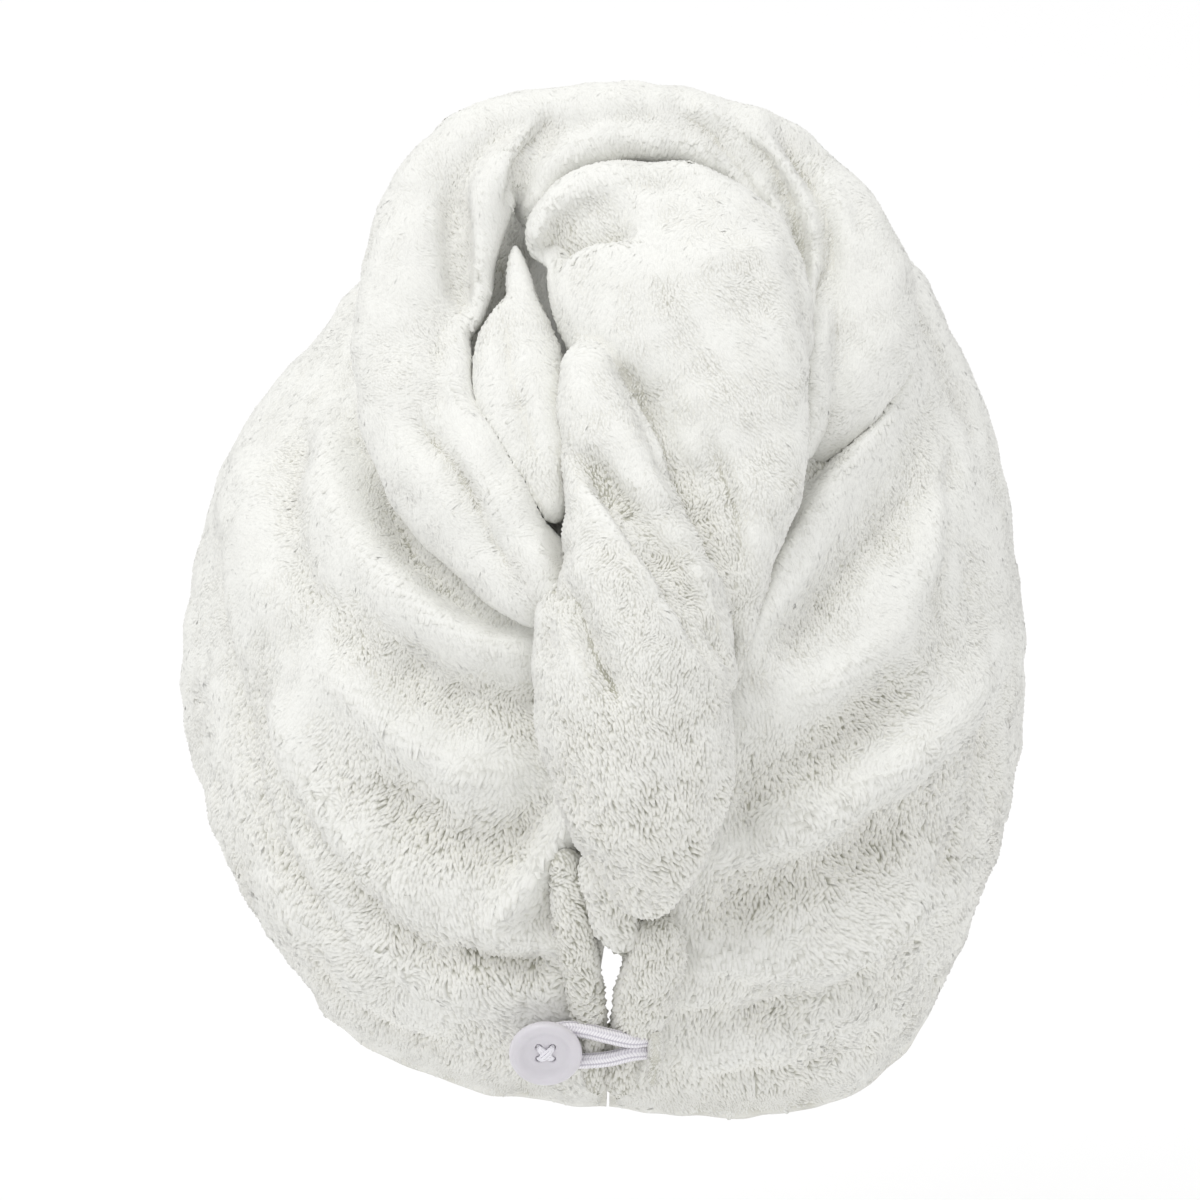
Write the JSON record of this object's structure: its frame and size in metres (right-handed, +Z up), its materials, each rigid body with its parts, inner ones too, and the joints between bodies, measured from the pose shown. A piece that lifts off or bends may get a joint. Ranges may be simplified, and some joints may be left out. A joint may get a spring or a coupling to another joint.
{
  "type": "hair towel",
  "caption": "Plush hair towel wound into a turban: a hollow hood, a thick roll round the crown, a twisted tail down the back and a button with an elastic loop at the nape.",
  "frame": {"origin": "where the inside of the crown rests on the top of the head", "axes": "+Z up, +Y the way the wearer faces, +X to the wearer's right; the tail, slit, button and loop are on the -Y side"},
  "size_m": [0.2488, 0.2593, 0.2667],
  "materials": {
    "fleece": "long-pile coral fleece, matt",
    "elastic": "braided elastic cord",
    "button": "moulded, soft gloss",
    "thread": "twisted sewing thread"
  },
  "bodies": {
    "root": {"hood": "fleece", "crown_roll": "fleece", "inner_fold": "fleece", "tail": "fleece", "slit_hem_left": "fleece", "slit_hem_right": "fleece", "loop_tab": "fleece", "elastic_loop": "elastic", "button": "button", "button_thread": "thread"}
  },
  "joints": []
}
